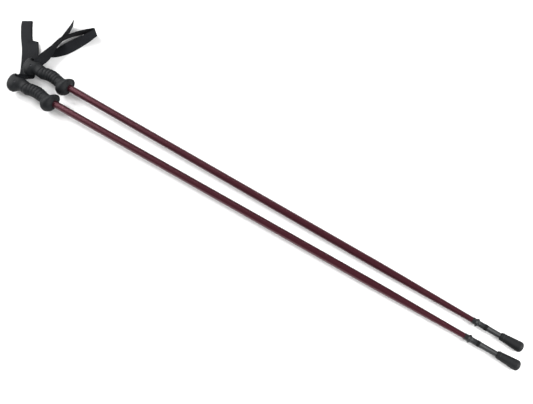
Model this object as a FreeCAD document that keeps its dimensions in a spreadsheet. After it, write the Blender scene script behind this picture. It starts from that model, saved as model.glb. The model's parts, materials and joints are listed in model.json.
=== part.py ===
"""A pair of one-piece trekking poles lying side by side on a level surface.

Each pole is modelled in its own frame: +X runs down the shaft from the crown of
the grip, +Y points to the palm side, where the wrist strap leaves, and +Z points
sideways. Both poles are then laid down, grips towards -X and tips towards +X, on
the collar of the grip and on the rubber cap. The origin is the middle of the
footprint of the pair, on the surface.
"""
import FreeCAD, Part
import math
import os
import Sketcher

os.makedirs("parts", exist_ok=True)
doc = FreeCAD.newDocument("trekking_poles")

# ---------------------------------------------------------------- driving sizes
SIZES = {
    # whole pole, millimetres from the crown of the grip
    "steel_tip_at": 1200,        # nominal length of the pole
    "shaft_radius": 8,           # the straight part of the tube
    "tube_wall": 1.0,
    "shaft_top_at": 38,          # end of the tube inside the grip
    "taper_length": 183.3,       # tapered part of the tube, down to the tip body
    "shaft_end_radius": 5.3,     # where the tube meets the tip body
    "socket_depth": 1.5,         # full size of the tube inside the tip body
    "swage_from": 4,             # then it is swaged down, from here
    "swage_length": 28,
    "swage_radius": 4.4,
    "end_room": 0.5,             # past the end of the tube
    "glue_gap": 0.05,
    # shaft plug
    "plug_flange": 2,
    "plug_depth": 14,
    "plug_round": 0.8,
    "plug_room": 0.2,            # between the plug and the end of the bore
    # strap pin and the cavity that the webbing runs in
    "pin_at": 23,
    "pin_forward": 4.4,
    "pin_radius": 2.5,
    "pin_fit": 0.02,
    "pin_recess": 1.2,
    "pin_bevel": 0.4,
    "webbing_width": 25,
    "webbing_thickness": 1.2,
    "layer_gap": 0.2,            # between layers of webbing pressed together
    "cavity_gap": 0.6,           # each side of the webbing
    "cheek": 1.6,                # wall of the head outside the cavity, at its widest
    "eye_thickness": 3.2,        # turns of webbing round the pin
    "eye_clearance": 0.3,
    "chamber_gap": 1.2,
    "mouth_left": 15,            # reach of the slot mouth towards the crown
    "mouth_right": 4.5,            # and towards the shaft, both from the pin
    "mouth_reach": 30,
    "lock_depth": 4,
    "lock_half_width": 7.5,
    "lock_bevel": 7,
    # ribs of the grip
    "rib_first_at": 48,
    "rib_pitch": 7.9,
    "rib_groove_radius": 1.3,
    "rib_groove_depth": 0.8,
    # tip body, from its upper edge
    "tip_body_reach": 90.7,      # from its upper edge to the end of the steel tip
    "tip_body_length": 79.7,
    "tip_edge_radius": 6.0,
    "flange_from_top": 9.6,
    "flange_radius": 8.0,
    "flange_rise": 3.6,
    "flange_crest": 0.5,
    "band_from_top": 23.7,
    "band_length": 5.6,
    "band_radius": 5.85,
    "tip_neck_radius": 5.55,
    "tip_nose_radius": 4.7,
    "nose_bevel": 0.8,
    # steel tip
    "sleeve_radius": 3.0,
    "sleeve_length": 30,
    "sleeve_stand_out": 6,
    "sleeve_bevel": 0.8,
    "spike_radius": 1.75,
    "spike_length": 14,
    "spike_bevel": 0.35,
    "spike_hollow": 0.8,
    # rubber cap
    "cap_length": 43.6,
    "cap_gap_front": 8.0,        # from the steel tip to the washer, on the front pole
    "cap_gap_rear": 0.4,
    "cap_floor": 7.2,
    "cap_mouth_radius": 6.7,
    "cap_shoulder_radius": 8.0,
    "cap_shoulder_at": 5.3,
    "cap_foot_radius": 10.3,
    "cap_foot_at": 36,
    "cap_heel_length": 3,
    "cap_heel_radius": 8.5,
    "cap_heel_round": 2.2,
    "cap_face_radius": 5.0,
    "cap_fit": 0.2,
    "cap_bore_room": 0.6,
    "cap_neck_depth": 20,
    "cap_bore_from": 24,
    "washer_thickness": 1.2,
    "washer_radius": 4.7,
    # how the pair lies
    "axis_gap_heads": 52.8,      # between the axes at the crowns
    "axis_gap_tips": 34.4,       # and at the steel tips
    "lift_of_soft_parts": 0.4,   # webbing above the surface
}

# Sections of the grip: name, distance from the crown, offset of its centre towards the
# palm, half depth front to back, half width as a share of the widest, and tilt in degrees.
GRIP_SECTIONS = [
    ("crown", 0.0, -1.0, 10.0, 0.46, 0),
    ("crown_edge", 1.6, -1.5, 15.5, 0.74, 0),
    ("head_upper", 6.0, -2.2, 19.2, 0.93, 0),
    ("head_middle", 14.0, -2.9, 21.7, 1.0, 0),
    ("head_lower", 20.0, -2.7, 21.4, 1.0, 0),
    ("beak_under", 24.5, -0.3, 17.9, 0.985, 0),
    ("neck_top", 29.0, 1.0, 15.6, 0.965, 0),
    ("neck", 37.5, 1.3, 13.7, 0.855, 0),
    ("finger_rise", 43.0, 0.6, 13.6, 0.869, 0),
    ("finger_bump", 49.0, -0.6, 14.0, 0.898, 0),
    ("finger_fall", 56.0, 0.9, 13.7, 0.898, 0),
    ("palm_rise", 63.0, 2.4, 13.7, 0.905, 0),
    ("palm_swell", 76.0, 3.3, 13.9, 0.918, 0),
    ("palm_fall", 88.0, 1.7, 13.6, 0.905, 0),
    ("wrist", 97.0, 0.0, 12.9, 0.869, 3),
    ("collar_root", 104.0, -0.5, 13.3, 0.884, 10),
    ("collar_flare", 110.0, -1.6, 19.0, 1.089, 13),
    ("collar_rim_upper", 117.0, -2.1, 23.3, 1.2925, 14),
    ("collar_rim_lower", 121.5, -2.1, 23.3, 1.306, 14),
    ("collar_under", 126.0, -1.2, 17.5, 0.985, 12),
    ("collar_mouth", 128.7, 0.0, 10.5, 0.7, 4),
]
RIB_COUNT = 7
TOUCHING = 0.01                  # two rims nearer than this are the same

sheet = doc.addObject("Spreadsheet::Sheet", "sizes")


def fill_sheet():
    """Write every driving size to the sheet under its own alias."""
    cells = dict(SIZES)
    for name, at, offset, depth, width, tilt in GRIP_SECTIONS:
        cells[name + "_at"] = at
        cells[name + "_offset"] = offset
        cells[name + "_depth"] = depth
        cells[name + "_share"] = width
        cells[name + "_tilt"] = tilt
    for row, (alias, value) in enumerate(cells.items(), 1):
        sheet.set(f"A{row}", alias.replace("_", " "))
        sheet.set(f"B{row}", str(value))
        sheet.setAlias(f"B{row}", alias)
    doc.recompute()


fill_sheet()


def size(alias):
    return float(sheet.get(alias))


def cell(alias):
    return "sizes." + alias


def value(expression):
    return float(sheet.evalExpression(expression))


def half_width(section):
    """Expression for the half width of a section of the grip."""
    widest = f"({cell('webbing_width')} / 2 + {cell('cavity_gap')} + {cell('cheek')})"
    return f"{cell(section + '_share')} * {widest}"


TIP_BODY_AT = f"({cell('steel_tip_at')} - {cell('tip_body_reach')})"
CHAMBER_RADIUS = " + ".join(cell(name) for name in (
    "pin_radius", "eye_clearance", "eye_thickness", "chamber_gap"))
CAVITY_HALF_HEIGHT = f"({cell('webbing_width')} / 2 + {cell('cavity_gap')})"


# ---------------------------------------------------------------- sketch helpers
def plane_of(body, role):
    return [item for item in body.Origin.OriginFeatures if item.Role == role][0]


def bound_outline(body, name, corners):
    """A closed outline on the body's XY plane; each corner is a pair of expressions."""
    sketch = body.newObject("Sketcher::SketchObject", name)
    sketch.AttachmentSupport = [(plane_of(body, "XY_Plane"), "")]
    sketch.MapMode = "FlatFace"
    places = [(value(x), value(y)) for x, y in corners]
    count = len(corners)
    for index in range(count):
        start = FreeCAD.Vector(*places[index], 0)
        end = FreeCAD.Vector(*places[(index + 1) % count], 0)
        sketch.addGeometry(Part.LineSegment(start, end), False)
    for index in range(count):
        sketch.addConstraint(Sketcher.Constraint("Coincident", index, 2, (index + 1) % count, 1))
    for index, (x, y) in enumerate(corners):
        for kind, text, place in (("DistanceX", x, places[index][0]), ("DistanceY", y, places[index][1])):
            if text == "0":
                axis = -2 if kind == "DistanceX" else -1
                sketch.addConstraint(Sketcher.Constraint("PointOnObject", index, 1, axis))
                continue
            number = sketch.addConstraint(Sketcher.Constraint(kind, index, 1, place))
            label = f"{kind}_{index}"
            sketch.renameConstraint(number, label)
            sketch.setExpression("Constraints." + label, text)
    return sketch


def turned_body(label, corners):
    """A body of revolution about the pole's axis, from (along, radius) corners."""
    body = doc.addObject("PartDesign::Body", label)
    body.Label = label
    outline = bound_outline(body, label + "_outline", corners)
    turn = body.newObject("PartDesign::Revolution", label + "_turn")
    turn.Profile = outline
    turn.ReferenceAxis = (outline, ["H_Axis"])
    turn.Angle = 360
    outline.Visibility = False
    doc.recompute()
    return body


def round_rims(body, rims, radius):
    """Round the circular edges that lie at the given (along, radius) places."""
    places = [(value(along), value(rim)) for along, rim in rims]
    edges = []
    for number, edge in enumerate(body.Shape.Edges, 1):
        curve = edge.Curve
        if not isinstance(curve, Part.Circle):
            continue
        if any(abs(curve.Center.x - along) < TOUCHING and abs(curve.Radius - rim) < TOUCHING
               for along, rim in places):
            edges.append(f"Edge{number}")
    sharp = body.Tip
    fillet = body.newObject("PartDesign::Fillet", body.Label + "_rounds")
    fillet.Base = (sharp, edges)
    fillet.Radius = value(radius)
    fillet.setExpression("Radius", radius)
    doc.recompute()


# ---------------------------------------------------------------- shaft and its plug
def make_shaft(pole):
    top, end = cell("shaft_top_at"), TIP_BODY_AT
    start = f"{end} - {cell('taper_length')}"
    full, tapered, neck = cell("shaft_radius"), cell("shaft_end_radius"), cell("swage_radius")
    swage = f"{end} + {cell('swage_from')}"
    outside = [(top, full), (start, full), (end, tapered), (f"{end} + {cell('socket_depth')}", tapered),
               (swage, neck), (f"{swage} + {cell('swage_length')}", neck)]
    inside = [(along, f"{radius} - {cell('tube_wall')}") for along, radius in reversed(outside)]
    return turned_body(pole + "_shaft", outside + inside)


def make_shaft_plug(pole):
    top = cell("shaft_top_at")
    face, deep = f"{top} - {cell('plug_flange')}", f"{top} + {cell('plug_depth')}"
    rim = f"{cell('shaft_radius')} - {cell('glue_gap')}"
    bore = f"{rim} - {cell('tube_wall')}"
    body = turned_body(pole + "_shaft_plug", [
        (face, "0"), (face, rim), (top, rim), (top, bore), (deep, bore), (deep, "0")])
    round_rims(body, [(deep, bore)], cell("plug_round"))
    return body


# ---------------------------------------------------------------- tip of the pole
def make_tip_body(pole):
    top, gap = TIP_BODY_AT, cell("glue_gap")
    edge, neck, nose = cell("tip_edge_radius"), cell("tip_neck_radius"), cell("tip_nose_radius")
    peak, crest, rise = f"{top} + {cell('flange_from_top')}", cell("flange_crest"), cell("flange_rise")
    band = f"{top} + {cell('band_from_top')}"
    band_end = f"{band} + {cell('band_length')}"
    end, bevel = f"{top} + {cell('tip_body_length')}", cell("nose_bevel")
    sleeve_seat = f"{cell('steel_tip_at')} - {cell('sleeve_stand_out')} - {cell('sleeve_length')}"
    sleeve_bore = f"{cell('sleeve_radius')} + {gap}"
    swage = f"{top} + {cell('swage_from')}"
    swage_end = f"{swage} + {cell('swage_length')} + {cell('end_room')}"
    swage_bore, socket = f"{cell('swage_radius')} + {gap}", f"{cell('shaft_end_radius')} + {gap}"
    return turned_body(pole + "_tip_body", [
        (top, socket), (top, edge), (f"{peak} - {rise}", edge),
        (f"{peak} - {crest}", cell("flange_radius")), (f"{peak} + {crest}", cell("flange_radius")),
        (f"{peak} + {rise}", neck), (band, neck), (band, cell("band_radius")),
        (band_end, cell("band_radius")), (band_end, neck),
        (f"{end} - {bevel}", nose), (end, f"{nose} - {bevel}"),
        (end, sleeve_bore), (sleeve_seat, sleeve_bore), (sleeve_seat, "0"),
        (swage_end, "0"), (swage_end, swage_bore), (swage, swage_bore),
        (f"{top} + {cell('socket_depth')}", socket)])


def make_spike_sleeve(pole):
    end = f"{cell('steel_tip_at')} - {cell('sleeve_stand_out')}"
    start = f"{end} - {cell('sleeve_length')}"
    seat = f"{cell('steel_tip_at')} - {cell('spike_length')}"
    radius, bevel = cell("sleeve_radius"), cell("sleeve_bevel")
    bore = f"{cell('spike_radius')} + {cell('glue_gap')}"
    return turned_body(pole + "_spike_sleeve", [
        (start, "0"), (start, radius), (f"{end} - {bevel}", radius), (end, f"{radius} - {bevel}"),
        (end, bore), (seat, bore), (seat, "0")])


def make_spike(pole):
    tip, radius = cell("steel_tip_at"), cell("spike_radius")
    start = f"{tip} - {cell('spike_length')} + {cell('glue_gap')}"
    return turned_body(pole + "_spike", [
        (start, "0"), (start, radius), (f"{tip} - {cell('spike_bevel')}", radius),
        (tip, f"{radius} - {cell('spike_bevel')}"), (f"{tip} - {cell('spike_hollow')}", "0")])


# ---------------------------------------------------------------- rubber cap
def cap_end(pole):
    """Expression for the end face of the cap, which is pushed on as far as its gap."""
    return " + ".join(cell(name) for name in (
        "steel_tip_at", "cap_floor", "washer_thickness", "cap_gap_" + pole))


def cap_start(pole):
    return f"({cap_end(pole)} - {cell('cap_length')})"


def make_rubber_cap(pole):
    start, end = cap_start(pole), cap_end(pole)
    mouth = f"{cell('tip_neck_radius')} + {cell('cap_fit')}"
    bore = f"{cell('tip_nose_radius')} + {cell('cap_bore_room')}"
    washer_seat = f"{end} - {cell('cap_floor')}"
    washer_face = f"{washer_seat} - {cell('washer_thickness')}"
    washer_rim = f"{cell('washer_radius')} + {cell('glue_gap')}"
    foot = (f"{start} + {cell('cap_foot_at')}", cell("cap_foot_radius"))
    heel = (f"{end} - {cell('cap_heel_length')}", cell("cap_heel_radius"))
    body = turned_body(pole + "_rubber_cap", [
        (start, mouth), (start, cell("cap_mouth_radius")),
        (f"{start} + {cell('cap_shoulder_at')}", cell("cap_shoulder_radius")), foot, heel,
        (end, cell("cap_face_radius")), (end, "0"),
        (washer_seat, "0"), (washer_seat, washer_rim), (washer_face, washer_rim), (washer_face, bore),
        (f"{start} + {cell('cap_bore_from')}", bore), (f"{start} + {cell('cap_neck_depth')}", mouth)])
    round_rims(body, [foot, heel], cell("cap_heel_round"))
    return body


def make_cap_washer(pole):
    back = f"{cap_end(pole)} - {cell('cap_floor')} - {cell('glue_gap')}"
    face = f"{back} - {cell('washer_thickness')} + 2 * {cell('glue_gap')}"
    rim = cell("washer_radius")
    return turned_body(pole + "_cap_washer", [(face, "0"), (face, rim), (back, rim), (back, "0")])


# ---------------------------------------------------------------- grip
def upright_section(name, prefix):
    """One oval section of the grip, standing across the pole and tilted by its own angle."""
    oval = doc.addObject("Part::Ellipse", f"{prefix}_{name}")
    oval.MajorRadius = size(name + "_depth")
    oval.MinorRadius = value(half_width(name))
    oval.setExpression("MajorRadius", cell(name + "_depth"))
    oval.setExpression("MinorRadius", half_width(name))
    place = f"create(<<vector>>; {cell(name + '_at')}; {cell(name + '_offset')}; 0)"
    turn = f"create(<<rotation>>; 90 + {cell(name + '_tilt')}; 0; 90)"
    oval.setExpression("Placement", f"create(<<placement>>; {place}; {turn})")
    return oval


def along_pole(kind, name, at, offset="0"):
    """A Part primitive whose own axis runs along the pole, from a place on it."""
    item = doc.addObject(kind, name)
    place = f"create(<<vector>>; {at}; {offset}; 0)"
    item.setExpression("Placement", f"create(<<placement>>; {place}; create(<<rotation>>; 90; 0; 90))")
    return item


def along_pin(name, radius, half_length):
    """A cylinder on the axis of the strap pin, as long on both sides of the grip."""
    item = doc.addObject("Part::Cylinder", name)
    item.setExpression("Radius", radius)
    item.setExpression("Height", f"2 * ({half_length})")
    low = f"create(<<vector>>; {cell('pin_at')}; -{cell('pin_forward')}; -({half_length}))"
    item.setExpression("Placement", f"create(<<placement>>; {low}; create(<<rotation>>; 0; 0; 0))")
    return item


def blend_at(at, suffix):
    """Expression for a size of the grip between the two sections that hold a place."""
    names = [name for name, *_ in GRIP_SECTIONS]
    low, high = [(a, b) for a, b in zip(names, names[1:])
                 if size(a + "_at") <= at <= size(b + "_at")][0]
    share = f"({at} - {cell(low + '_at')}) / ({cell(high + '_at')} - {cell(low + '_at')})"
    first, last = (half_width(low), half_width(high)) if suffix == "width" else (
        cell(f"{low}_{suffix}"), cell(f"{high}_{suffix}"))
    return f"({first} + ({last} - {first}) * {share})"


def rib_grooves(pole):
    """Ring-shaped cutters, one for each groove between the ribs of the grip."""
    rings = []
    for number in range(RIB_COUNT):
        at = size("rib_first_at") + number * size("rib_pitch")
        ring = along_pole("Part::Torus", f"{pole}_groove_{number + 1}",
                          f"{cell('rib_first_at')} + {number} * {cell('rib_pitch')}",
                          blend_at(at, "offset"))
        ring.setExpression("Radius2", cell("rib_groove_radius"))
        mean_radius = f"({blend_at(at, 'depth')} + {blend_at(at, 'width')}) / 2"
        ring.setExpression("Radius1", f"{mean_radius} + {cell('rib_groove_radius')}"
                                      f" - {cell('rib_groove_depth')}")
        rings.append(ring)
    return rings


def slab_body(label, corners, half_height):
    """A pad of an outline in the pole's XY plane, as thick on both sides of it."""
    body = doc.addObject("PartDesign::Body", label)
    body.Label = label
    outline = bound_outline(body, label + "_outline", corners)
    pad = body.newObject("PartDesign::Pad", label + "_pad")
    pad.Profile = outline
    pad.SideType = "Symmetric"
    pad.setExpression("Length", f"2 * ({half_height})")
    outline.Visibility = False
    doc.recompute()
    return body


def lock_outline(gap):
    """Corners of the pocket that holds the strap lock, drawn in by a gap all round."""
    pin_x, pin_y, room = cell("pin_at"), f"-{cell('pin_forward')}", f"({CHAMBER_RADIUS})"
    front = f"{pin_y} - {room} - {cell('lock_depth')} + {gap}"
    bevel = cell("lock_bevel")
    crown_side, shaft_side = f"{pin_x} - {room} + {gap}", f"{pin_x} + {room} - {gap}"
    return [(crown_side, pin_y), (crown_side, front), (f"{shaft_side} - {bevel}", front),
            (shaft_side, f"{front} + {bevel}"), (shaft_side, pin_y)]


def strap_cavity(pole):
    """The room in the head that the webbing turns in, with its mouth on the palm side."""
    pin_x, pin_y, room = cell("pin_at"), f"-{cell('pin_forward')}", f"({CHAMBER_RADIUS})"
    chamber = along_pin(pole + "_chamber", CHAMBER_RADIUS, CAVITY_HALF_HEIGHT)
    far = f"{pin_y} + {cell('mouth_reach')}"
    mouth = slab_body(pole + "_mouth", [
        (f"{pin_x} - {room}", pin_y), (f"{pin_x} + {room}", pin_y),
        (f"{pin_x} + {cell('mouth_right')}", far), (f"{pin_x} - {cell('mouth_left')}", far)],
        CAVITY_HALF_HEIGHT)
    pocket = slab_body(pole + "_lock_pocket", lock_outline("0"), cell("lock_half_width"))
    return [chamber, mouth, pocket]


def make_grip(pole):
    loft = doc.addObject("Part::Loft", pole + "_grip_form")
    loft.Sections = [upright_section(name, pole) for name, *_ in GRIP_SECTIONS]
    loft.Solid = True
    loft.Ruled = True
    bore = along_pole("Part::Cylinder", pole + "_grip_bore",
                      f"{cell('shaft_top_at')} - {cell('plug_flange')} - {cell('plug_room')}")
    bore.setExpression("Radius", f"{cell('shaft_radius')} + {cell('glue_gap')}")
    bore.setExpression("Height", cell("collar_mouth_at"))
    hole = along_pin(pole + "_pin_bore", f"{cell('pin_radius')} + {cell('pin_fit')}",
                     f"2 * {half_width('head_middle')}")
    cutters = doc.addObject("Part::MultiFuse", pole + "_grip_cutters")
    cutters.Shapes = [bore, hole] + strap_cavity(pole) + rib_grooves(pole)
    grip = doc.addObject("Part::Cut", pole + "_grip")
    grip.Label = pole + "_grip"
    grip.Base = loft
    grip.Tool = cutters
    doc.recompute()
    return grip


def make_strap_pin(pole):
    rod = along_pin(pole + "_pin_rod", cell("pin_radius"),
                    f"{half_width('head_lower')} - {cell('pin_recess')}")
    doc.recompute()
    pin = doc.addObject("Part::Chamfer", pole + "_strap_pin")
    pin.Label = pole + "_strap_pin"
    pin.Base = rod
    bevel = size("pin_bevel")
    pin.Edges = [(number, bevel, bevel) for number, edge in enumerate(rod.Shape.Edges, 1)
                 if isinstance(edge.Curve, Part.Circle)]
    doc.recompute()
    return pin


def make_strap_lock(pole):
    """The insert in front of the pin that the tail of the webbing is pinched against."""
    half = f"{cell('lock_half_width')} - {cell('glue_gap')}"
    block = slab_body(pole + "_lock_block", lock_outline(cell("glue_gap")), half)
    eye = f"{cell('pin_radius')} + {cell('eye_clearance')} + {cell('eye_thickness')}"
    hollow = along_pin(pole + "_lock_hollow", f"{eye} + {cell('eye_clearance')}", f"2 * ({half})")
    lock = doc.addObject("Part::Cut", pole + "_strap_lock")
    lock.Label = pole + "_strap_lock"
    lock.Base = block
    lock.Tool = hollow
    doc.recompute()
    return lock


# ---------------------------------------------------------------- how a pole lies
def pole_placement(pole):
    """Placement of a pole that rests on its collar rim and on the foot of its cap."""
    rim_at, rim = size("collar_rim_lower_at"), value(half_width("collar_rim_lower"))
    foot_at, foot = value(f"{cap_start(pole)} + {cell('cap_foot_at')}"), size("cap_foot_radius")
    pitch = math.atan2(rim - foot, foot_at - rim_at)
    height = rim_at * math.sin(pitch) + rim * math.cos(pitch)
    heads, tips = size("axis_gap_heads") / 2, size("axis_gap_tips") / 2
    yaw = math.atan2(heads - tips, size("steel_tip_at"))
    side = -1 if pole == "front" else 1
    turn = FreeCAD.Rotation(-side * math.degrees(yaw), math.degrees(pitch), 0)
    return FreeCAD.Placement(FreeCAD.Vector(0, side * heads, height), turn)


def pin_place(pole):
    """Centre of the strap pin of a pole that lies in its place."""
    return pole_placement(pole).multVec(FreeCAD.Vector(size("pin_at"), -size("pin_forward"), 0))


# ---------------------------------------------------------------- wrist straps
def ribbon(stations, width, thickness):
    """A strip of webbing through stations of (x, y, under, heading, lean).

    under is the height of the strip's lower edge above where webbing lies, heading the
    way the strip runs, in degrees from +X, and lean how far its width stands up from
    the surface, in degrees: 0 lies flat and 90 stands on its edge.
    """
    sections = []
    for x, y, under, heading, lean in stations:
        head, tip = math.radians(heading), math.radians(lean)
        side = FreeCAD.Vector(math.sin(head), -math.cos(head), 0)
        up = FreeCAD.Vector(0, 0, 1)
        across = side * math.cos(tip) + up * math.sin(tip)
        through = up * math.cos(tip) - side * math.sin(tip)
        half_height = (abs(width * math.sin(tip)) + abs(thickness * math.cos(tip))) / 2
        centre = FreeCAD.Vector(x, y, size("lift_of_soft_parts") + under + half_height)
        corners = [centre + across * (a * width / 2) + through * (b * thickness / 2)
                   for a, b in ((-1, -1), (1, -1), (1, 1), (-1, 1), (-1, -1))]
        sections.append(Part.makePolygon(corners))
    return Part.makeLoft(sections, True, True)


def strap_eye(centre):
    """The turns of webbing round the pin."""
    width = size("webbing_width")
    low = centre - FreeCAD.Vector(0, 0, width / 2)
    inner = size("pin_radius") + size("eye_clearance")
    outer = inner + size("eye_thickness")
    return Part.makeCylinder(outer, width, low).cut(Part.makeCylinder(inner, width, low))


def slot_height(pole):
    """How far above its laid height the webbing's lower edge runs inside the head."""
    return pin_place(pole).z - size("webbing_width") / 2 - size("lift_of_soft_parts")


def make_strap(pole, strips):
    """One closed solid from the eye and the strips, whose points are taken from the pin."""
    centre = pin_place(pole)
    shape = strap_eye(centre)
    for thickness, stations in strips:
        placed = [(centre.x + x, centre.y + y, *rest) for x, y, *rest in stations]
        shape = shape.fuse(ribbon(placed, size("webbing_width"), thickness))
    strap = doc.addObject("Part::Feature", pole + "_strap")
    strap.Label = pole + "_strap"
    strap.Shape = shape
    return strap


def make_front_strap():
    """The loop, pressed flat where it passes under the rear head, and the tail on top of it."""
    single = size("webbing_thickness")
    double = 2 * single + size("layer_gap")
    slot = slot_height("front")
    loop = [(-1.2, 4.4, slot, 110, 90), (-6.0, 17.5, slot, 110, 90), (-8.0, 22.8, 4.8, 115, 68),
            (-11.2, 27.6, 1.7, 122, 21), (-15.4, 33.6, 0.4, 127, 5), (-22.5, 44.5, 0, 129, 0),
            (-31.6, 57, 0, 129, 0), (-51.5, 81.9, 0, 129.5, 0), (-66.1, 99, 0, 132, 0),
            (-97.9, 130.5, 0, 130, 0), (-126, 163.5, 0, 130.5, 0)]
    above = double + size("layer_gap")
    tail = [(1.6, 4.4, slot, 92, 90), (1.2, 17, slot, 92, 90), (0.5, 22.5, 6.0, 97, 72),
            (-0.6, 27, above + 1.2, 107, 28), (-3.4, 35, above, 122, 1),
            (-10.0, 46.0, above, 128, 0), (-28.8, 74.2, above, 127, 0), (-51, 102.4, above, 131, 0),
            (-68.9, 122.3, above, 132, 0)]
    return make_strap("front", [(double, loop), (single, tail)])


def make_rear_strap():
    """The loop, lying open behind the rear grip, and the tail that stands on its edge."""
    slot = slot_height("rear")
    outgoing = [(-3.2, 4.4, slot, 97, 90), (-5.2, 19, slot, 97, 90), (-7.6, 30, 3.4, 97, 82),
                (-10.6, 41, 1.2, 96, 60), (-13.2, 50, 0.4, 88, 30), (-11.6, 60, 0.1, 70, 9),
                (-6, 68, 0, 57, 1), (0.6, 74.5, 0, 52, -5), (7.6, 82, 0, 57, -15), (19.8, 97.4, 0, 64, -40),
                (26.5, 111.4, 0, 70, -48), (34.7, 127, 0, 75, -67), (40.9, 141.5, 0, 78, -80),
                (44.4, 155.3, 0, 80, -87), (46.6, 167, 0, 80, -90)]
    homeward = [(47.4, 166.2, 0, 200, 90), (38, 162.8, 0, 206, 96), (29, 157, 0, 220, 104),
                (21.2, 150.5, 0, 226, 110), (13.5, 142, 0, 228, 111), (5.6, 131.8, 0, 234, 114),
                (-1.0, 122, 0, 242, 114), (-9, 111, 0.2, 250, 110), (-13, 99, 0.4, 265, 104),
                (-12, 84, 1.6, 276, 98), (-9, 70, 2.4, 281, 92), (-7.2, 56, 2.8, 276, 96),
                (-6.2, 42, 3.4, 275, 98), (-4.8, 30, 5.4, 277, 94), (-3.6, 19, slot, 277, 90),
                (-2.1, 4.4, slot, 277, 90)]
    tail = [(-1.0, 4.4, slot, 92, 90), (-2.0, 19, slot, 93, 90), (-2.8, 30, 4.6, 92, 103),
            (-3.3, 42, 2.6, 90, 105), (-3.0, 54, 2.2, 91, 98), (-3.4, 66, 2.2, 94, 86),
            (-5.8, 82, 1.9, 98, 75), (-7.4, 97, 0.8, 95, 70), (-8.2, 110, 0.2, 94, 70),
            (-9.6, 124, 0, 96, 73), (-12.6, 142, 0, 99, 72), (-17.6, 160, 0, 106, 70)]
    single = size("webbing_thickness")
    return make_strap("rear", [(single, strip) for strip in (outgoing, homeward, tail)])


# ---------------------------------------------------------------- assembly
def make_pole(pole):
    makers = (make_grip, make_strap_pin, make_strap_lock, make_shaft, make_shaft_plug,
              make_tip_body, make_spike_sleeve, make_spike, make_rubber_cap, make_cap_washer)
    pieces = [maker(pole) for maker in makers]
    for piece in pieces:
        piece.Placement = pole_placement(pole)
    return pieces


def footprint_middle(pieces):
    box = FreeCAD.BoundBox()
    for piece in pieces:
        box.add(piece.Shape.optimalBoundingBox(False))
    return FreeCAD.Vector((box.XMin + box.XMax) / 2, (box.YMin + box.YMax) / 2, box.ZMin)


def check_document(pieces):
    """Stop if any object failed, or if a sub-part is not one or more valid solids."""
    for item in doc.Objects:
        if "Invalid" in item.State or "Error" in item.State:
            raise RuntimeError(f"{item.Label} failed: {item.State}")
    for piece in pieces:
        shape = piece.Shape
        if shape.isNull() or not shape.isValid() or not shape.Solids:
            raise RuntimeError(f"{piece.Label} has no valid solid")


sub_parts = make_pole("front") + make_pole("rear")
sub_parts += [make_front_strap(), make_rear_strap()]
doc.recompute()
origin = footprint_middle(sub_parts)
for sub_part in sub_parts:
    place = sub_part.Placement
    sub_part.Placement = FreeCAD.Placement(place.Base - origin, place.Rotation)
doc.recompute()
check_document(sub_parts)
for sub_part in sub_parts:
    sub_part.Shape.exportStep(f"parts/{sub_part.Label}.step")
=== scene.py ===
"""Looks of a pair of trekking poles: grips, wrist straps, tubes, tip bodies and rubber caps.

Metres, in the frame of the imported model. The turned and moulded pieces are shaped about
their own pole, +X down the shaft from the crown of the grip and +Y to the palm, and are
then laid where that pole lies. The straps are shaped from their pins.
"""
import json
import math

import bmesh
import bpy
from mathutils import Matrix, Vector


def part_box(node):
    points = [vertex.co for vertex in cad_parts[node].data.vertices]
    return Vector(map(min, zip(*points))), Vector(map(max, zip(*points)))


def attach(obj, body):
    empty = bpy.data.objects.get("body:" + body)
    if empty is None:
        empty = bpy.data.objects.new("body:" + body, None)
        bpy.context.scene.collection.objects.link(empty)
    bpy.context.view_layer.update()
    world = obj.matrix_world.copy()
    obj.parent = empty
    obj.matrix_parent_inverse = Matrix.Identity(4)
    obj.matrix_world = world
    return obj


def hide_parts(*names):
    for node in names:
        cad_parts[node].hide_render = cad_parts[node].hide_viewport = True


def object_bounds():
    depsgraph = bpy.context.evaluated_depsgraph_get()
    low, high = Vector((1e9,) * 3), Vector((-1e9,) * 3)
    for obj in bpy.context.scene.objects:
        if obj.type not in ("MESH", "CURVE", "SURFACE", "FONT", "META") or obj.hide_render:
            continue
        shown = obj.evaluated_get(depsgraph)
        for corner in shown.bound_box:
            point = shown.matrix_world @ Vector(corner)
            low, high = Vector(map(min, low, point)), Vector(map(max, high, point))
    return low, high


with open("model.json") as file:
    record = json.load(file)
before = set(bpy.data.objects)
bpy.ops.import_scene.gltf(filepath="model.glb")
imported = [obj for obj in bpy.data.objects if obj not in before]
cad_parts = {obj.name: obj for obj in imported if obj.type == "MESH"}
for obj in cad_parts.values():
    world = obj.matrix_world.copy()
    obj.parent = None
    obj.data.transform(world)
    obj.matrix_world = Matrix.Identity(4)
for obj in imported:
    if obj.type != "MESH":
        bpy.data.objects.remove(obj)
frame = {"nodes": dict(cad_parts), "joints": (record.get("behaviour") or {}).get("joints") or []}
cad_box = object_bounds()

MM = 0.001
POLES = ("front", "rear")

# ---------------------------------------------------------------- camera
AZIMUTH, ELEVATION = math.radians(32.08), math.radians(63.60)
CAMERA_DISTANCE = 1.2423
CAMERA_AIM = Vector((0.0981, -0.0425, 0.0))
LENS = 40.53                      # on a sensor 36 wide


def set_camera():
    back = Vector((math.sin(AZIMUTH) * math.cos(ELEVATION),
                   -math.cos(AZIMUTH) * math.cos(ELEVATION), math.sin(ELEVATION)))
    lens = bpy.data.cameras.new("camera")
    lens.lens, lens.sensor_width = LENS, 36
    lens.clip_start, lens.clip_end = 0.01, 50
    camera = bpy.data.objects.new("camera", lens)
    bpy.context.scene.collection.objects.link(camera)
    camera.location = CAMERA_AIM + back * CAMERA_DISTANCE
    camera.rotation_mode = "QUATERNION"
    camera.rotation_quaternion = (-back).to_track_quat("-Z", "Y")
    bpy.context.scene.camera = camera


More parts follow.
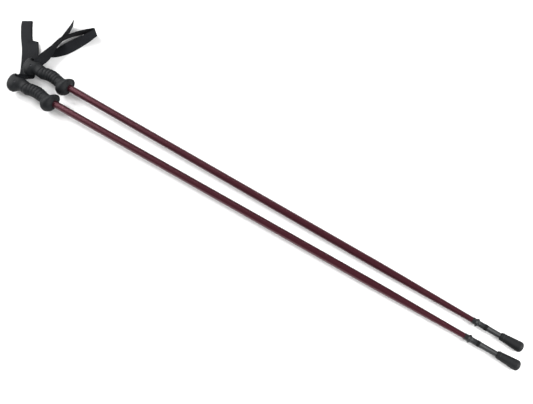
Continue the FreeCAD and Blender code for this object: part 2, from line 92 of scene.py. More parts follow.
# ---------------------------------------------------------------- where things are
def joint(name):
    return next(j for j in frame["joints"] if j["name"] == name)


PIN_AT, PIN_FORWARD = 23 * MM, 4.4 * MM


def pole_matrix(pole):
    """Lays a piece that is shaped about its own pole."""
    run = Vector(joint(pole + "_cap_pull")["axis"]).normalized()
    up = (Vector((0, 0, 1)) - run * run.z).normalized()
    turn = Matrix((run, up.cross(run), up)).transposed()
    pin = Vector(joint(pole + "_strap_swing")["pos_m"])
    crown = pin - turn @ Vector((PIN_AT, -PIN_FORWARD, 0))
    return Matrix.Translation(crown) @ turn.to_4x4()


def reach(node):
    """How far down its pole a CAD node starts and ends."""
    back = pole_matrix(node.split("_")[0]).inverted()
    spots = [(back @ v.co).x for v in frame["nodes"][node].data.vertices]
    return min(spots), max(spots)


def reach_round(node):
    """The greatest distance of a CAD node from its pole's own line."""
    back = pole_matrix(node.split("_")[0]).inverted()
    return max((back @ v.co).yz.length for v in frame["nodes"][node].data.vertices)


# ---------------------------------------------------------------- mesh helpers
def finished(bm, name, body, finishes, place=None, smooth_angle=math.radians(35)):
    """Turns a bmesh into a piece of the object that rides on a body."""
    bmesh.ops.recalc_face_normals(bm, faces=bm.faces)
    if place is not None:
        bmesh.ops.transform(bm, matrix=place, verts=bm.verts)
    mesh = bpy.data.meshes.new(name)
    bm.to_mesh(mesh)
    bm.free()
    piece = bpy.data.objects.new(name, mesh)
    bpy.context.scene.collection.objects.link(piece)
    for finish in finishes:
        mesh.materials.append(finish)
    mesh.set_sharp_from_angle(angle=smooth_angle)
    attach(piece, body)
    return piece


def weld(bm):
    bmesh.ops.remove_doubles(bm, verts=bm.verts, dist=1e-6)


def soften(bm, corner, width, segments=3):
    """Rounds the edges that turn by more than an angle, in degrees."""
    edges = [e for e in bm.edges if e.is_manifold and e.calc_face_angle(0) > math.radians(corner)]
    bmesh.ops.bevel(bm, geom=edges, offset=width, offset_type="OFFSET", affect="EDGES", segments=segments,
                    profile=0.5, material=-1, clamp_overlap=True)


def turned(outline, steps=96):
    """Spins an outline of (along, radius) corners round the pole's own line."""
    bm = bmesh.new()
    corners = [bm.verts.new((along, 0, radius)) for along, radius in outline]
    closed = outline[0][1] > 0
    ends = corners[1:] + corners[:1] if closed else corners[1:]
    edges = [bm.edges.new(pair) for pair in zip(corners, ends)]
    bmesh.ops.spin(bm, geom=corners + edges, cent=(0, 0, 0), axis=(1, 0, 0), dvec=(0, 0, 0),
                   angle=math.tau, steps=steps, use_merge=True, use_duplicate=False)
    weld(bm)
    return bm


def lofted(ring, places, distances=None):
    """Extrudes a ring of corners, given in its own (across, through) plane, from place to place.

    distances, one for each place, makes a UV map of (across, along) for a woven strip.
    """
    bm = bmesh.new()
    along = bm.verts.layers.float.new("along")
    across = bm.verts.layers.float.new("across")
    verts = [bm.verts.new((0, y, z)) for y, z in ring]
    edges = [bm.edges.new(pair) for pair in zip(verts, verts[1:] + verts[:1])]
    for vert in verts:
        vert[across] = vert.co.y
        vert[along] = distances[0] if distances else 0.0
    first = edges
    bmesh.ops.transform(bm, matrix=places[0], verts=verts)
    for k in range(1, len(places)):
        made = bmesh.ops.extrude_edge_only(bm, edges=edges)["geom"]
        verts = [item for item in made if isinstance(item, bmesh.types.BMVert)]
        edges = [item for item in made if isinstance(item, bmesh.types.BMEdge)]
        bmesh.ops.transform(bm, matrix=places[k] @ places[k - 1].inverted(), verts=verts)
        for vert in verts:
            vert[along] = distances[k] if distances else 0.0
    bmesh.ops.holes_fill(bm, edges=first, sides=0)
    bmesh.ops.holes_fill(bm, edges=edges, sides=0)
    if distances:
        layer = bm.loops.layers.uv.new("UVMap")
        for face in bm.faces:
            for loop in face.loops:
                loop[layer].uv = loop.vert[across], loop.vert[along]
    bm.verts.layers.float.remove(bm.verts.layers.float["along"])
    bm.verts.layers.float.remove(bm.verts.layers.float["across"])
    return bm


def blended(table, at):
    """The row of a table of numbers at a place, on a smooth curve through its rows.

    The first column says where each row is, and the curve doesn't overshoot.
    """
    spots = [row[0] for row in table]
    if at <= spots[0]:
        return table[0][1:]
    if at >= spots[-1]:
        return table[-1][1:]
    k = max(i for i, spot in enumerate(spots) if spot <= at)
    k = min(k, len(table) - 2)
    gap = spots[k + 1] - spots[k]
    t = (at - spots[k]) / gap
    result = []
    for column in range(1, len(table[0])):
        slopes = []
        for i in (k, k + 1):
            before = table[i - 1] if i > 0 else table[i]
            after = table[i + 1] if i + 1 < len(table) else table[i]
            rise_before = (table[i][column] - before[column]) / ((table[i][0] - before[0]) or 1)
            rise_after = (after[column] - table[i][column]) / ((after[0] - table[i][0]) or 1)
            if before is table[i] or after is table[i]:
                slopes.append(rise_before + rise_after)
            elif rise_before * rise_after <= 0:
                slopes.append(0.0)
            else:
                slopes.append(2 * rise_before * rise_after / (rise_before + rise_after))
        a, b = table[k][column], table[k + 1][column]
        result.append((2 * t ** 3 - 3 * t * t + 1) * a + (t ** 3 - 2 * t * t + t) * gap * slopes[0]
                      + (3 * t * t - 2 * t ** 3) * b + (t ** 3 - t * t) * gap * slopes[1])
    return result


# ---------------------------------------------------------------- materials
class Wire:
    """A shader socket that can be added to, multiplied and so on."""

    def __init__(self, finish, socket):
        self.finish, self.socket = finish, socket

    def joined(self, operation, first, second=None):
        values = {0: first} if second is None else {0: first, 1: second}
        return self.finish.node("ShaderNodeMath", {"operation": operation}, values)

    def __add__(self, other):
        return self.joined("ADD", self, other)

    def __radd__(self, other):
        return self.joined("ADD", other, self)

    def __sub__(self, other):
        return self.joined("SUBTRACT", self, other)

    def __rsub__(self, other):
        return self.joined("SUBTRACT", other, self)

    def __mul__(self, other):
        return self.joined("MULTIPLY", self, other)

    def __rmul__(self, other):
        return self.joined("MULTIPLY", other, self)

    def __truediv__(self, other):
        return self.joined("DIVIDE", self, other)

    def __pow__(self, other):
        return self.joined("POWER", self, other)

    def wave(self):
        return self.joined("SINE", self)

    def size(self):
        return self.joined("ABSOLUTE", self)

    def whole(self):
        return self.joined("FLOOR", self)

    def odd(self):
        return self.joined("MODULO", self, 2)

    def clipped(self):
        return self.finish.node("ShaderNodeClamp", {}, {"Value": self})

    def between(self, low, high):
        """0 below low, 1 above high, and a smooth rise between them."""
        return self.finish.node("ShaderNodeMapRange", {"interpolation_type": "SMOOTHSTEP"},
                                {"Value": self, "From Min": low, "From Max": high})


class Finish:
    """A material, and the nodes that make it."""

    def __init__(self, name, **constants):
        self.material = bpy.data.materials.new(name)
        self.material.use_nodes = True
        self.tree = self.material.node_tree
        self.shader = self.tree.nodes["Principled BSDF"]
        for socket, value in constants.items():
            self.shader.inputs[socket.replace("_", " ")].default_value = value

    def node(self, kind, settings, values, output=0):
        """Adds a node, sets it, feeds its sockets, and gives one of its outputs."""
        made = self.tree.nodes.new(kind)
        for name, value in settings.items():
            setattr(made, name, value)
        for socket, value in values.items():
            self.feed(made.inputs[socket], value)
        return Wire(self, made.outputs[output])

    def feed(self, socket, value):
        if isinstance(value, Wire):
            self.tree.links.new(value.socket, socket)
        else:
            socket.default_value = value

    def set(self, **values):
        for socket, value in values.items():
            self.feed(self.shader.inputs[socket.replace("_", " ")], value)

    def place(self, stretch=(1, 1, 1), source="Object"):
        where = self.node("ShaderNodeTexCoord", {}, {}, source)
        return self.node("ShaderNodeMapping", {}, {"Vector": where, "Scale": stretch})

    def axes(self, place):
        split = self.node("ShaderNodeSeparateXYZ", {}, {"Vector": place})
        return [Wire(self, split.socket.node.outputs[k]) for k in range(3)]

    def noise(self, place, scale, detail=3.0, rough=0.5):
        return self.node("ShaderNodeTexNoise", {}, {"Vector": place, "Scale": scale, "Detail": detail,
                                                    "Roughness": rough}, "Fac")

    def cells(self, place, scale, output="Distance"):
        return self.node("ShaderNodeTexVoronoi", {}, {"Vector": place, "Scale": scale}, output)

    def mixed(self, share, low, high):
        """A colour between two, given as (r, g, b)."""
        mix = self.node("ShaderNodeMix", {"data_type": "RGBA"}, {"Factor": share}, "Result")
        node = mix.socket.node
        low_socket, high_socket = [s for s in node.inputs if s.type == "RGBA"]
        for socket, value in ((low_socket, low), (high_socket, high)):
            self.feed(socket, value if isinstance(value, Wire) else (*value, 1))
        return Wire(self, [s for s in node.outputs if s.type == "RGBA"][0])

    def bump(self, height, depth, strength=1.0):
        self.set(Normal=self.node("ShaderNodeBump", {}, {"Height": height, "Distance": depth,
                                                         "Strength": strength}, "Normal"))


def make_grip_rubber():
    finish = Finish("grip_foam_rubber", Specular_IOR_Level=0.22)
    place = finish.place()
    grain = finish.noise(place, 2600, 4, 0.65)
    pores = finish.cells(place, 900).between(0.0, 0.35)
    patches = finish.noise(place, 45, 4, 0.55)
    finish.set(Base_Color=finish.mixed(patches.between(0.35, 0.7), (0.0035, 0.0042, 0.0052),
                                       (0.0068, 0.0078, 0.0092)),
               Roughness=0.50 + 0.16 * patches + 0.08 * grain)
    finish.bump(grain * 0.6 + pores * 0.4, 0.00012, 0.55)
    return finish.material


WEBBING_WIDTH = 25 * MM
WEBBING_THICKNESS = 1.2 * MM
CORDS = 18                        # ribs across the webbing
PICK = 1.15 * MM                  # from one weft to the next


def make_webbing():
    """Woven ribs that run along the strip, crossed by the weft, with a bound edge, and painted shade in the
    weave's hollows.
    """
    finish = Finish("webbing_weave", Specular_IOR_Level=0.14, Sheen_Weight=0.03, Sheen_Roughness=0.5)
    across, along, _ = finish.axes(finish.place(source="UV"))
    cord = across / (WEBBING_WIDTH / CORDS)
    odd_cord = cord.whole().size().odd()
    rib = (cord * math.pi).wave().size() ** 0.6
    pick = ((along / PICK + odd_cord * 0.5) * math.pi).wave().size() ** 0.8
    edge = (across / (WEBBING_WIDTH / 2)).size().between(0.86, 0.93)
    fuzz = finish.noise(finish.place(), 1500, 4, 0.7)
    worn = finish.noise(finish.place(), 60, 4, 0.6)
    height = (0.35 + 0.65 * pick) * rib * (1 - 0.35 * edge)
    # Colour darker where the weave sits low (between ribs, between picks, at the bound edge): painted shade
    # in the hollows; the worn noise adds random lighter patches
    weave_painted_shade_and_wear = (height * 0.7 + worn * 0.5).clipped()
    finish.set(Base_Color=finish.mixed(weave_painted_shade_and_wear, (0.0022, 0.0026, 0.0036), (0.0078, 0.0086, 0.0108)),
               Roughness=0.72 + 0.16 * fuzz - 0.10 * height)
    finish.bump(height + fuzz * 0.25, 0.00022, 0.7)
    return finish.material


def make_tube_lacquer():
    """Wine red metallic lacquer on a drawn tube, a little scuffed towards the tip."""
    finish = Finish("tube_lacquer", Coat_Weight=0.3, Coat_Roughness=0.16, Metallic=0.55)
    place = finish.place()
    flakes = finish.cells(place, 5200, "Color")
    flake = finish.axes(flakes)[0]
    drawn = finish.noise(finish.place((4, 900, 900)), 1.0, 3, 0.6)
    cloud = finish.noise(finish.place((3, 60, 60)), 1.0, 4, 0.6)
    along = finish.axes(place)[0]
    low_end = along.between(0.15, cad_box[1].x)
    scratch = finish.noise(finish.place((40, 2600, 2600)), 1.0, 2, 0.4).between(0.66, 0.74) * low_end
    colour = finish.mixed((flake * 0.55 + drawn * 0.25 + cloud * 0.35).clipped(),
                          (0.032, 0.0036, 0.0082), (0.074, 0.0085, 0.0180))
    finish.set(Base_Color=finish.mixed((scratch * 0.45).clipped(), colour, (0.20, 0.13, 0.135)),
               Roughness=0.27 + 0.10 * drawn + 0.16 * scratch + 0.05 * flake)
    finish.bump(drawn * 0.5 + flake * 0.12 - scratch * 0.5, 0.00002, 0.45)
    return finish.material


def make_tip_plastic():
    finish = Finish("tip_body_plastic", Specular_IOR_Level=0.4)
    place = finish.place()
    flow = finish.noise(finish.place((90, 500, 500)), 1.0, 3, 0.5)
    spark = finish.noise(place, 3200, 3, 0.6)
    finish.set(Base_Color=finish.mixed(flow.between(0.3, 0.75), (0.0065, 0.0072, 0.0082),
                                       (0.0125, 0.0135, 0.0148)),
               Roughness=0.33 + 0.14 * flow + 0.06 * spark)
    finish.bump(spark * 0.5 + flow * 0.5, 0.00005, 0.4)
    return finish.material


def make_band_plastic():
    """The darker band of the tip body, with a fine etched texture."""
    finish = Finish("tip_band_texture", Specular_IOR_Level=0.15)
    etched = finish.cells(finish.place(), 1500)
    grain = finish.noise(finish.place(), 3000, 3, 0.6)
    finish.set(Base_Color=finish.mixed(etched.between(0.1, 0.6), (0.0028, 0.0031, 0.0036),
                                       (0.0062, 0.0066, 0.0072)),
               Roughness=0.74 + 0.12 * grain)
    finish.bump(etched + grain * 0.3, 0.00012, 0.7)
    return finish.material


def make_cap_rubber():
    """Matte rubber with a little dust worked into it near the foot."""
    finish = Finish("cap_rubber", Specular_IOR_Level=0.26)
    place = finish.place()
    grain = finish.noise(place, 1900, 4, 0.6)
    smear = finish.noise(finish.place((120, 300, 300)), 1.0, 5, 0.65)
    foot = finish.axes(place)[0].between(cad_box[1].x - 0.022, cad_box[1].x)
    dust = smear.between(0.5, 0.8) * (0.25 + 0.75 * foot)
    finish.set(Base_Color=finish.mixed(dust * 0.55, (0.0058, 0.0064, 0.0074), (0.026, 0.0255, 0.025)),
               Roughness=0.55 + 0.12 * grain + 0.12 * dust)
    finish.bump(grain, 0.00008, 0.5)
    return finish.material


def make_steel(name, tint, rough):
    """Turned metal, with fine rings round the pole."""
    finish = Finish(name, Metallic=1.0)
    rings = finish.noise(finish.place((9000, 60, 60)), 1.0, 2, 0.5)
    stain = finish.noise(finish.place(), 260, 4, 0.6)
    low = tuple(0.72 * part for part in tint)
    finish.set(Base_Color=finish.mixed((rings * 0.5 + stain * 0.5).clipped(), low, tint),
               Roughness=rough + 0.12 * rings + 0.10 * stain)
    finish.bump(rings, 0.00001, 0.4)
    return finish.material


def make_inner_plastic():
    finish = Finish("inner_plastic", Specular_IOR_Level=0.4)
    flow = finish.noise(finish.place((200, 400, 400)), 1.0, 3, 0.5)
    finish.set(Base_Color=finish.mixed(flow, (0.018, 0.018, 0.019), (0.034, 0.034, 0.036)),
               Roughness=0.45 + 0.15 * flow)
    finish.bump(flow, 0.00004, 0.4)
    return finish.material


GRIP_RUBBER = make_grip_rubber()
WEBBING = make_webbing()
TUBE_LACQUER = make_tube_lacquer()
TIP_PLASTIC = make_tip_plastic()
BAND_PLASTIC = make_band_plastic()
CAP_RUBBER = make_cap_rubber()
BRIGHT_STEEL = make_steel("turned_steel", (0.56, 0.57, 0.58), 0.25)
BLACK_STEEL = make_steel("blackened_steel", (0.045, 0.046, 0.05), 0.38)
CARBIDE = make_steel("sintered_carbide", (0.22, 0.22, 0.23), 0.42)
INNER_PLASTIC = make_inner_plastic()

# ---------------------------------------------------------------- wrist straps
SELVEDGE = (45, 90, 135)          # degrees round the rolled edge of the webbing
ACROSS = 10
STEP_ALONG = 2.2 * MM
LAY = 0.4 * MM                    # the webbing's underside above the surface


def webbing_section():
    """Corners of the webbing's section, (across, through), once round."""
    half = WEBBING_THICKNESS / 2
    flat = WEBBING_WIDTH / 2 - half
    top = [(-flat + 2 * flat * k / ACROSS, half) for k in range(ACROSS + 1)]
    turns = [math.radians(angle) for angle in SELVEDGE]
    right = [(flat + half * math.sin(a), half * math.cos(a)) for a in turns]
    under = [(-x, -z) for x, z in top]
    return top + right + under + [(-x, -z) for x, z in right]


def strip(pin, stations, cut=0.0):
    """A closed strip of webbing through stations, and its length.

    A station is (x, y, low, azimuth, rise) in millimetres and degrees: x and y from the
    pin, low the height of its lower edge above where webbing lies, and the way its width
    points, as an azimuth and a rise above the surface. cut is the slant of its last end.
    """
    half_width, half = WEBBING_WIDTH / 2, WEBBING_THICKNESS / 2
    travelled, rows = 0.0, []
    for x, y, low, azimuth, rise in stations:
        tip = math.radians(rise)
        height = LAY + low * MM + half_width * abs(math.sin(tip)) + half * abs(math.cos(tip))
        centre = Vector((pin.x + x * MM, pin.y + y * MM, height))
        if rows:
            travelled += (centre - Vector(rows[-1][1:4])).length
        rows.append((travelled, *centre, azimuth, rise))
    steps = max(2, round(travelled / STEP_ALONG))
    places, distances = [], [travelled * k / steps for k in range(steps + 1)]
    for at in distances:
        x, y, z, azimuth, rise = blended(rows, at)
        run = (Vector(blended(rows, at + 1e-4)[:3]) - Vector(blended(rows, at - 1e-4)[:3])).normalized()
        head, tip = math.radians(azimuth), math.radians(rise)
        across = Vector((math.cos(head) * math.cos(tip), math.sin(head) * math.cos(tip), math.sin(tip)))
        through = across.cross(run).normalized()
        along = through.cross(across)
        lean = along * (cut * max(0.0, 1 - (travelled - at) / WEBBING_WIDTH))
        turn = Matrix((along, across + lean, through)).transposed()
        places.append(Matrix.Translation((x, y, z)) @ turn.to_4x4())
    return lofted(webbing_section(), places, distances), travelled


def joined(parts):
    """Several bmeshes as one."""
    whole = bmesh.new()
    whole.loops.layers.uv.new("UVMap")
    for part in parts:
        mesh = bpy.data.meshes.new("part")
        part.to_mesh(mesh)
        part.free()
        whole.from_mesh(mesh)
        bpy.data.meshes.remove(mesh)
    return whole


def make_strap(pole, loop, tail, cut):
    pin = Vector(joint(pole + "_strap_swing")["pos_m"])
    strips = [strip(pin, loop), strip(pin, tail, cut=cut)]
    piece = finished(joined([bm for bm, _ in strips]), pole + "_webbing", pole + "_strap",
                     [WEBBING])
    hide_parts(pole + "_strap")


SLOT = 7.1                        # lower edge of the webbing inside the head

FRONT_LOOP = [
    (-0.6, 4.2, SLOT, 20, 90), (-5.4, 17.5, SLOT, 20, 90), (-7.4, 22.8, 4.9, 25, 69),
    (-10.6, 27.6, 1.9, 32, 24), (-15.0, 33.6, 0.5, 37, 6), (-22.5, 44.5, 0, 39, 0), (-32, 57.2, 0, 39, 0),
    (-51.4, 81.6, 0, 40, 0), (-65.8, 98.8, 0, 41, 0), (-97.0, 131.0, 0, 39, 0), (-120.5, 158.0, 0, 36, 0),
    (-123.6, 162.2, 0, 33, 0), (-125.2, 164.0, 0.8, 32, 0), (-125.0, 163.2, 1.9, 32, 0),
    (-122.6, 158.6, 1.7, 36, 1), (-98.6, 130.0, 1.6, 41, 0), (-66.4, 98.0, 1.6, 42, 0),
    (-51.8, 81.2, 1.6, 40, 0), (-32.4, 56.8, 1.6, 39, 0), (-23.2, 44.4, 1.7, 39, 0),
    (-16.4, 33.6, 2.2, 37, 7), (-12.4, 27.2, 3.6, 32, 28), (-9.2, 22.4, 6.2, 25, 72),
    (-7.2, 17.5, SLOT, 20, 90), (-2.4, 4.2, SLOT, 20, 90)]
FRONT_TAIL = [
    (1.6, 4.4, SLOT, 2, 90), (1.2, 17, SLOT, 2, 90), (0.5, 22.5, 6.2, 7, 72), (-0.6, 27, 4.2, 17, 28),
    (-3.4, 35, 3.1, 32, 2), (-10.0, 46.0, 2.9, 38, 0), (-28.6, 74.4, 2.9, 37, 0),
    (-50.6, 102.8, 2.9, 41, 0), (-62.0, 115.4, 3.1, 42, 0), (-68.6, 122.6, 4.2, 42, -3)]
REAR_LOOP = [
    (-3.4, 4.4, SLOT, 7, 90), (-5.4, 19, SLOT, 7, 90), (-7.8, 30, 3.4, 7, 82), (-10.8, 41, 1.2, 6, 60),
    (-13.4, 50, 0.4, -2, 30), (-11.6, 60, 0.1, -20, 9), (-6, 68, 0, -33, 1), (0.6, 74.5, 0, -38, -5),
    (7.6, 82, 0, -33, -15), (14.6, 89.8, 0, -29, -28), (19.8, 97.4, 0, -26, -40),
    (26.5, 111.4, 0, -20, -48), (34.7, 127, 0, -15, -67), (40.9, 141.5, 0, -12, -80),
    (44.6, 155.3, 0, -8, -87), (46.4, 163.8, 0, -2, -90), (46.2, 166.6, 0, 40, -90),
    (44.0, 167.0, 0, 100, -89), (38, 162.8, 0, 118, -84), (29, 157, 0, 130, -76),
    (21.2, 150.5, 0, 136, -70), (13.5, 142, 0, 138, -69), (5.6, 131.8, 0, 144, -66),
    (-1.0, 122, 0, 152, -66), (-6.6, 111.5, 0.1, 162, -68), (-9.4, 99, 0.4, 176, -70),
    (-7.8, 84, 1.2, 187, -75), (-5.4, 68, 1.8, 188, -86), (-5.0, 56, 2.0, 184, -97),
    (-5.2, 42, 2.8, 183, -105), (-4.6, 30, 4.8, 184, -103), (-3.4, 19, SLOT, 185, -92),
    (-1.9, 4.4, SLOT, 187, -90)]
REAR_TAIL = [
    (-0.6, 4.4, SLOT, 2, 90), (-1.6, 19, SLOT, 3, 92), (-2.6, 30, 4.6, 2, 103), (-3.3, 42, 2.6, 0, 105),
    (-3.0, 54, 2.2, 1, 98), (-3.4, 66, 2.2, 4, 86), (-5.8, 82, 1.9, 8, 75), (-7.4, 97, 0.8, 5, 70),
    (-8.2, 110, 0.2, 4, 70), (-9.6, 124, 0, 6, 73), (-12.6, 142, 0, 9, 72), (-17.6, 160, 0, 16, 70)]

set_camera()
make_strap("front", FRONT_LOOP, FRONT_TAIL, -0.38)
make_strap("rear", REAR_LOOP, REAR_TAIL, 0.1)

# ---------------------------------------------------------------- grips
HEAD_WIDTH = 14.7                 # half the widest width, millimetres
# Sections of the grip: distance from the crown, offset of its centre towards the palm,
# half depth, half width as a share of the widest, and tilt in degrees.
GRIP_SECTIONS = [
    (0.0, -1.0, 1.2, 0.05, -11), (0.25, -1.1, 6.0, 0.26, -11), (1.0, -1.4, 11.5, 0.52, -11),
    (2.6, -1.8, 15.8, 0.74, -11), (5.2, -2.3, 18.9, 0.89, -11), (9.0, -2.7, 20.9, 0.97, -11),
    (14.0, -2.9, 21.6, 1.0, -11), (18.6, -2.8, 21.3, 1.0, -11), (22.4, -1.6, 19.6, 0.99, -10),
    (25.4, -0.1, 17.4, 0.98, -8), (29.0, 0.9, 15.6, 0.96, -5), (34.0, 1.3, 14.3, 0.89, -2),
    (38.5, 1.2, 13.7, 0.86, 0), (44.0, 0.3, 13.7, 0.874, 0), (49.5, -0.5, 14.0, 0.898, 0),
    (56.0, 0.9, 13.8, 0.903, 0), (64.0, 2.5, 13.8, 0.908, 0), (76.0, 3.3, 13.9, 0.918, 0),
    (87.0, 2.0, 13.6, 0.908, 1), (96.0, 0.2, 13.0, 0.874, 3), (102.5, -0.4, 13.0, 0.874, 8),
    (106.5, -0.9, 14.6, 0.94, 11), (110.5, -1.6, 18.6, 1.08, 13), (114.0, -2.0, 21.6, 1.22, 14),
    (117.4, -2.1, 23.1, 1.292, 14), (120.0, -2.1, 23.3, 1.306, 14), (122.0, -2.0, 22.6, 1.266, 14),
    (124.2, -1.7, 20.2, 1.13, 13), (126.4, -1.0, 16.2, 0.92, 11), (128.0, -0.3, 12.2, 0.755, 7),
    (128.7, 0.0, 10.4, 0.70, 4)]
RIB_FIRST, RIB_PITCH, RIB_COUNT = 48.0, 7.9, 7
GROOVE_DEPTH, GROOVE_HALF = 0.95, 1.75
AROUND = 88
SQUARENESS = 2.15


def groove(at):
    """How deep the grooves between the ribs are at a distance from the crown."""
    nearest = min(range(RIB_COUNT), key=lambda k: abs(at - RIB_FIRST - k * RIB_PITCH))
    away = abs(at - RIB_FIRST - nearest * RIB_PITCH) / GROOVE_HALF
    crown = 0.18 * math.cos(math.tau * (at - RIB_FIRST) / RIB_PITCH)
    inside = RIB_FIRST - RIB_PITCH / 2 < at < RIB_FIRST + (RIB_COUNT - 0.5) * RIB_PITCH
    fade = 1.0 if inside else 0.0
    return fade * (crown + GROOVE_DEPTH * max(0.0, 1 - away * away) ** 2)


def grip_rows():
    """Distances of the rings of the grip from its crown, closer where the shape turns."""
    rows, at = [], 0.0
    while at < 128.7:
        rows.append(at)
        ribbed = RIB_FIRST - RIB_PITCH < at < RIB_FIRST + RIB_COUNT * RIB_PITCH
        at += 0.12 if at < 1 else 0.5 if at < 4 or ribbed else 1.0
    return rows + [128.7]


def grip_ring():
    """A round a little squarer than a circle, of radius 1."""
    corners = []
    for k in range(AROUND):
        angle = math.tau * k / AROUND
        c, s = math.cos(angle), math.sin(angle)
        corners.append(tuple(math.copysign(abs(part) ** (2 / SQUARENESS), part) for part in (c, s)))
    return corners


def make_grip(pole):
    bore = reach_round(pole + "_shaft") + 0.05 * MM
    top = reach(pole + "_shaft_plug")[0] - 0.2 * MM
    places = []
    for at in grip_rows():
        offset, depth, share, tilt = blended(GRIP_SECTIONS, at)
        slope = (blended(GRIP_SECTIONS, at + 1.5)[0] - blended(GRIP_SECTIONS, at - 1.5)[0]) / 3
        lean = -math.radians(tilt) + math.atan(slope) * min(1.0, max(0.0, (at - 30) / 15))
        sunk = groove(at)
        size = Matrix.Diagonal((MM, (depth - sunk) * MM, (share * HEAD_WIDTH - sunk) * MM, 1))
        places.append(Matrix.Translation((at * MM, offset * MM, 0)) @ Matrix.Rotation(lean, 4, "Z") @ size)
    bm = lofted(grip_ring(), places)
    grip = finished(bm, pole + "_grip_moulding", pole + "_pole", [GRIP_RUBBER], pole_matrix(pole))
    hollow = head_openings()
    bmesh.ops.create_cone(hollow, cap_ends=True, segments=96, radius1=bore, radius2=bore, depth=0.2,
                          matrix=Matrix.Translation((top + 0.1, 0, 0)) @ Matrix.Rotation(math.pi / 2, 4, "Y"))
    carve(grip, hollow, pole_matrix(pole))
    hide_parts(pole + "_grip")


def head_openings():
    """The slot that the webbing leaves by and the holes over the ends of the pin."""
    bm = bmesh.new()
    slot = bmesh.ops.create_cube(bm, size=1)["verts"]
    bmesh.ops.scale(bm, vec=(19.5 * MM, 34 * MM, 26.2 * MM), verts=slot)
    bmesh.ops.translate(bm, vec=(PIN_AT - 5.25 * MM, -PIN_FORWARD + 13 * MM, 0), verts=slot)
    upright = [e for e in bm.edges if abs(e.verts[0].co.y - e.verts[1].co.y) > 10 * MM]
    bmesh.ops.bevel(bm, geom=upright, offset=3 * MM, offset_type="OFFSET", affect="EDGES", segments=5,
                    profile=0.5, material=-1)
    pin = Matrix.Translation((PIN_AT, -PIN_FORWARD, 0))
    bmesh.ops.create_cone(bm, cap_ends=True, segments=32, radius1=2.52 * MM, radius2=2.52 * MM,
                          depth=60 * MM, matrix=pin)
    return bm


def carve(piece, cutter, place):
    """Cuts a bmesh out of a piece."""
    bmesh.ops.transform(cutter, matrix=place, verts=cutter.verts)
    mesh = bpy.data.meshes.new("cutter")
    bmesh.ops.recalc_face_normals(cutter, faces=cutter.faces)
    cutter.to_mesh(mesh)
    cutter.free()
    tool = bpy.data.objects.new("cutter", mesh)
    bpy.context.scene.collection.objects.link(tool)
    cut = piece.modifiers.new("cut", "BOOLEAN")
    cut.operation, cut.solver, cut.object, cut.use_self = "DIFFERENCE", "EXACT", tool, True
    bpy.context.view_layer.update()
    done = bpy.data.meshes.new_from_object(piece.evaluated_get(bpy.context.evaluated_depsgraph_get()))
    piece.modifiers.remove(cut)
    bpy.data.objects.remove(tool)
    old, name = piece.data, piece.data.name
    piece.data = done
    bpy.data.meshes.remove(old)
    done.name = name
    done.set_sharp_from_angle(angle=math.radians(40))


# ---------------------------------------------------------------- tubes, tip bodies and caps
TAPER = 183.3 * MM                # the length over which the tube thins
TUBE_WALL, THIN_END, TUBE_NECK = 1.0 * MM, 5.3 * MM, 4.4 * MM
EASE, EASE_STEPS = 60 * MM, 6     # where the straight part eases into the taper


def make_tube(pole):
    node = pole + "_shaft"
    start, end = reach(node)
    radius = reach_round(node)
    tip_top = reach(pole + "_tip_body")[0]
    bend = tip_top - TAPER - EASE / 2
    fall = (radius - THIN_END) * EASE / 2 / TAPER
    ease = [(bend + EASE * k / EASE_STEPS, radius - fall * (k / EASE_STEPS) ** 2)
            for k in range(EASE_STEPS + 1)]
    outside = [(start, radius)] + ease + [(tip_top, THIN_END), (tip_top + 1.5 * MM, THIN_END),
                                          (tip_top + 4 * MM, TUBE_NECK), (end, TUBE_NECK)]
    inside = [(along, r - TUBE_WALL) for along, r in reversed(outside)]
    piece = finished(turned(outside + inside, 128), pole + "_tube", pole + "_pole", [TUBE_LACQUER],
                     pole_matrix(pole))
    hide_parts(node)


def make_tip_body(pole):
    node = pole + "_tip_body"
    top, end = (value / MM for value in reach(node))
    widest = reach_round(node) / MM
    edge, neck, nose, band = 6.0, 5.55, 4.7, 5.85
    peak, band_at, band_end = top + 9.6, top + 23.7, top + 29.3
    outline = [(top, 5.35), (top, edge), (peak - 3.8, edge), (peak - 3.2, edge + 0.15), (peak - 0.7, widest),
               (peak + 0.7, widest), (peak + 3.2, neck + 0.25), (peak + 4.4, neck), (band_at, neck),
               (band_at, band), (band_end, band), (band_end, neck), (end - 0.9, nose), (end, nose - 0.8),
               (end, 3.05), (end - 20, 3.05), (end - 20, 0.0)]
    closed = [(along * MM, radius * MM) for along, radius in [(top + 32.5, 0.0), (top + 32.5, 4.45),
              (top + 4, 4.45), (top + 1.5, 5.35)] + outline]
    bm = turned(closed, 96)
    soften(bm, 24, 0.28 * MM)
    for face in bm.faces:
        middle = face.calc_center_median()
        if band_at < middle.x / MM < band_end and middle.yz.length > (neck + 0.1) * MM:
            face.material_index = 1
    piece = finished(bm, pole + "_tip_moulding", pole + "_pole", [TIP_PLASTIC, BAND_PLASTIC],
                     pole_matrix(pole))
    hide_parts(node)


FLUTES = 24
FLUTE_DEPTH = 0.16 * MM


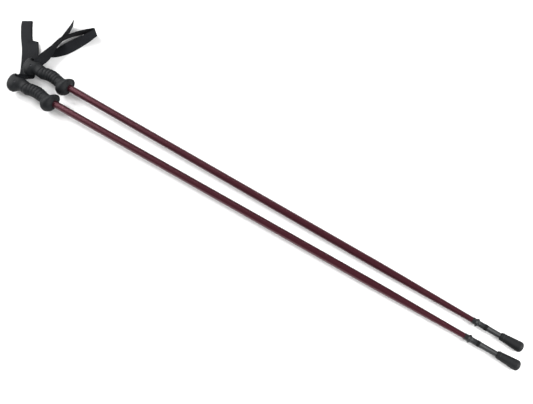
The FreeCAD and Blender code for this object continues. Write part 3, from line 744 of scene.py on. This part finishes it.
def make_cap(pole):
    node = pole + "_rubber_cap"
    start, end = (value / MM for value in reach(node))
    foot = reach_round(node) / MM
    outline = [(start + 20, 5.75), (start, 5.75), (start, 6.5), (start + 0.5, 6.9), (start + 4.6, 8.0),
               (start + 5.4, 7.95), (start + 5.9, 7.62), (start + 6.5, 7.72), (start + 12, 8.15),
               (start + 18, 8.6), (start + 24, 9.1), (start + 30, 9.7), (end - 9.5, foot - 0.22),
               (end - 7.6, foot), (end - 5.4, foot - 0.05), (end - 3.4, foot - 0.85),
               (end - 1.8, foot - 2.3), (end - 0.6, foot - 4.3), (end, foot - 6.6), (end, 0.0)]
    inner = [(end - 7.2, 0.0), (end - 7.2, 4.75), (end - 8.4, 4.75), (end - 8.4, 5.3), (start + 24, 5.3)]
    bm = turned([(along * MM, radius * MM) for along, radius in inner + outline], 144)
    soften(bm, 28, 0.3 * MM)
    for vert in bm.verts:
        share = (vert.co.x / MM - start - 20) / 16
        if 0 < share < 1.45 and vert.co.yz.length > 8 * MM:
            depth = FLUTE_DEPTH * math.sin(min(share, 1.0) * math.pi / 2) * min(1.0, (1.45 - share) * 4)
            wave = 0.5 - 0.5 * math.cos(FLUTES * math.atan2(vert.co.z, vert.co.y))
            vert.co.yz = vert.co.yz * (1 - depth * wave / vert.co.yz.length)
    piece = finished(bm, pole + "_cap_moulding", pole + "_cap", [CAP_RUBBER], pole_matrix(pole),
                     math.radians(60))
    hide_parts(node)


def make_pin(pole):
    node = pole + "_strap_pin"
    low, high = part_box(node)
    radius, half = 2.5 * MM, (high.z - low.z) / 2 - 0.02 * MM
    bm = bmesh.new()
    bmesh.ops.create_cone(bm, cap_ends=True, segments=48, radius1=radius, radius2=radius, depth=2 * half,
                          matrix=Matrix.Translation((PIN_AT, -PIN_FORWARD, 0)))
    soften(bm, 60, 0.4 * MM)
    piece = finished(bm, pole + "_pin_turned", pole + "_pole", [BLACK_STEEL], pole_matrix(pole))
    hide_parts(node)


for pole in POLES:
    make_grip(pole)
    make_tube(pole)
    make_tip_body(pole)
    make_cap(pole)
    make_pin(pole)
    for node, finish in (("strap_lock", INNER_PLASTIC), ("shaft_plug", INNER_PLASTIC), ("spike", CARBIDE),
                         ("spike_sleeve", BRIGHT_STEEL), ("cap_washer", BRIGHT_STEEL)):
        mesh = frame["nodes"][f"{pole}_{node}"].data
        mesh.materials.clear()
        mesh.materials.append(finish)

# ---------------------------------------------------------------- floor and light
FLOOR_SIZE = 8.0


def make_floor():
    bm = bmesh.new()
    bmesh.ops.create_grid(bm, x_segments=1, y_segments=1, size=FLOOR_SIZE / 2)
    mesh = bpy.data.meshes.new("floor")
    bm.to_mesh(mesh)
    bm.free()
    floor = bpy.data.objects.new("floor", mesh)
    bpy.context.scene.collection.objects.link(floor)
    floor.location.z = cad_box[0].z
    finish = Finish("pale_paper", Specular_IOR_Level=0.1)
    fibre = finish.noise(finish.place(), 400, 3, 0.6)
    finish.set(Base_Color=finish.mixed(fibre, (0.86, 0.86, 0.86), (0.88, 0.88, 0.88)),
               Roughness=0.9 + 0.05 * fibre)
    mesh.materials.append(finish.material)


def softbox(name, at, aim, size, power):
    light = bpy.data.lights.new(name, "AREA")
    light.shape, light.size, light.size_y = "RECTANGLE", *size
    light.energy = power
    lamp = bpy.data.objects.new(name, light)
    bpy.context.scene.collection.objects.link(lamp)
    lamp.location = at
    lamp.rotation_mode = "QUATERNION"
    lamp.rotation_quaternion = (Vector(aim) - Vector(at)).to_track_quat("-Z", "Y")


def light_studio():
    world = bpy.data.worlds.new("studio")
    world.use_nodes = True
    world.node_tree.nodes["Background"].inputs["Color"].default_value = (1, 1, 1, 1)
    world.node_tree.nodes["Background"].inputs["Strength"].default_value = 0.30
    bpy.context.scene.world = world
    bpy.context.scene.view_settings.view_transform = "Standard"
    for side, at in (("right", 2.7), ("left", -3.2)):
        for row, back in enumerate((-1.3, 0.0, 1.3)):
            softbox(f"{side}_{row}", (at, back, 2.2), (0, 0, 0), (0.9, 0.9), 62)
    softbox("strip", (-0.85, 0.80, 1.7), (-0.1, 0, 0), (2.4, 0.05), 3.2)


make_floor()
light_studio()
